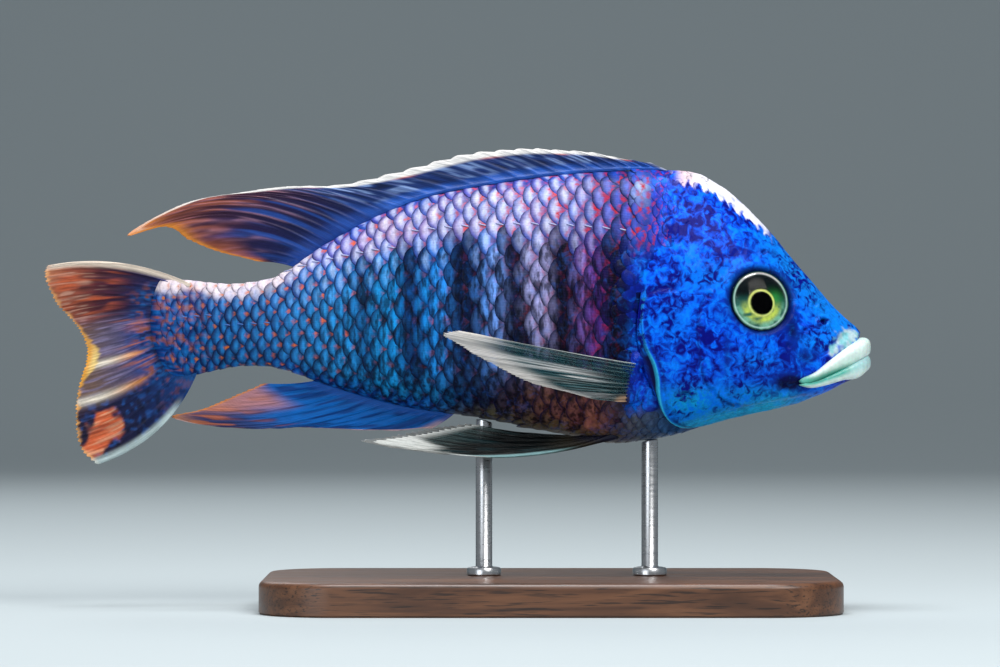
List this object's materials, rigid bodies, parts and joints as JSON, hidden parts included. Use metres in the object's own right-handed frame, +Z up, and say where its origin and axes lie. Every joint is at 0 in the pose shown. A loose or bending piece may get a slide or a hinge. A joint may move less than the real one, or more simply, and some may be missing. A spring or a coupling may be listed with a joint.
{
  "type": "peacock cichlid",
  "caption": "Life-size display model of a male peacock cichlid swimming, with raised fins and thick pale lips, held on rods over a flat base.",
  "frame": {"origin": "on the table, under the middle of the fish's length and width", "axes": "+X from the tail to the snout, +Y to the fish's left, +Z up"},
  "size_m": [0.15, 0.06, 0.0833],
  "materials": {
    "head_skin": "wet royal blue skin, marbled darker",
    "flank_scales": "satin scales, lavender and blue, edged with red",
    "tail_scales": "satin blue scales with orange spots",
    "fin_blue": "satin membrane over rays",
    "fin_rust": "satin membrane over rays",
    "fin_clear": "thin see-through membrane over rays",
    "lip_skin": "wet, white",
    "eye": "glossy cornea over a green and gold iris",
    "walnut": "satin lacquer",
    "steel": "satin"
  },
  "bodies": {
    "root": {"head": "head_skin", "gill_cover_right": "head_skin", "gill_cover_left": "head_skin", "eye_right": "eye", "eye_left": "eye", "lip_upper": "lip_skin", "lip_lower": "lip_skin", "torso": "flank_scales", "tail": "tail_scales", "dorsal_fin": "fin_blue", "anal_fin": "fin_blue", "caudal_fin": "fin_rust", "pectoral_fin_right": "fin_clear", "pectoral_fin_left": "fin_clear", "pelvic_fin_right": "fin_blue", "pelvic_fin_left": "fin_blue", "stand_base": "walnut", "stand_rod_front": "steel", "stand_rod_rear": "steel"}
  },
  "joints": []
}
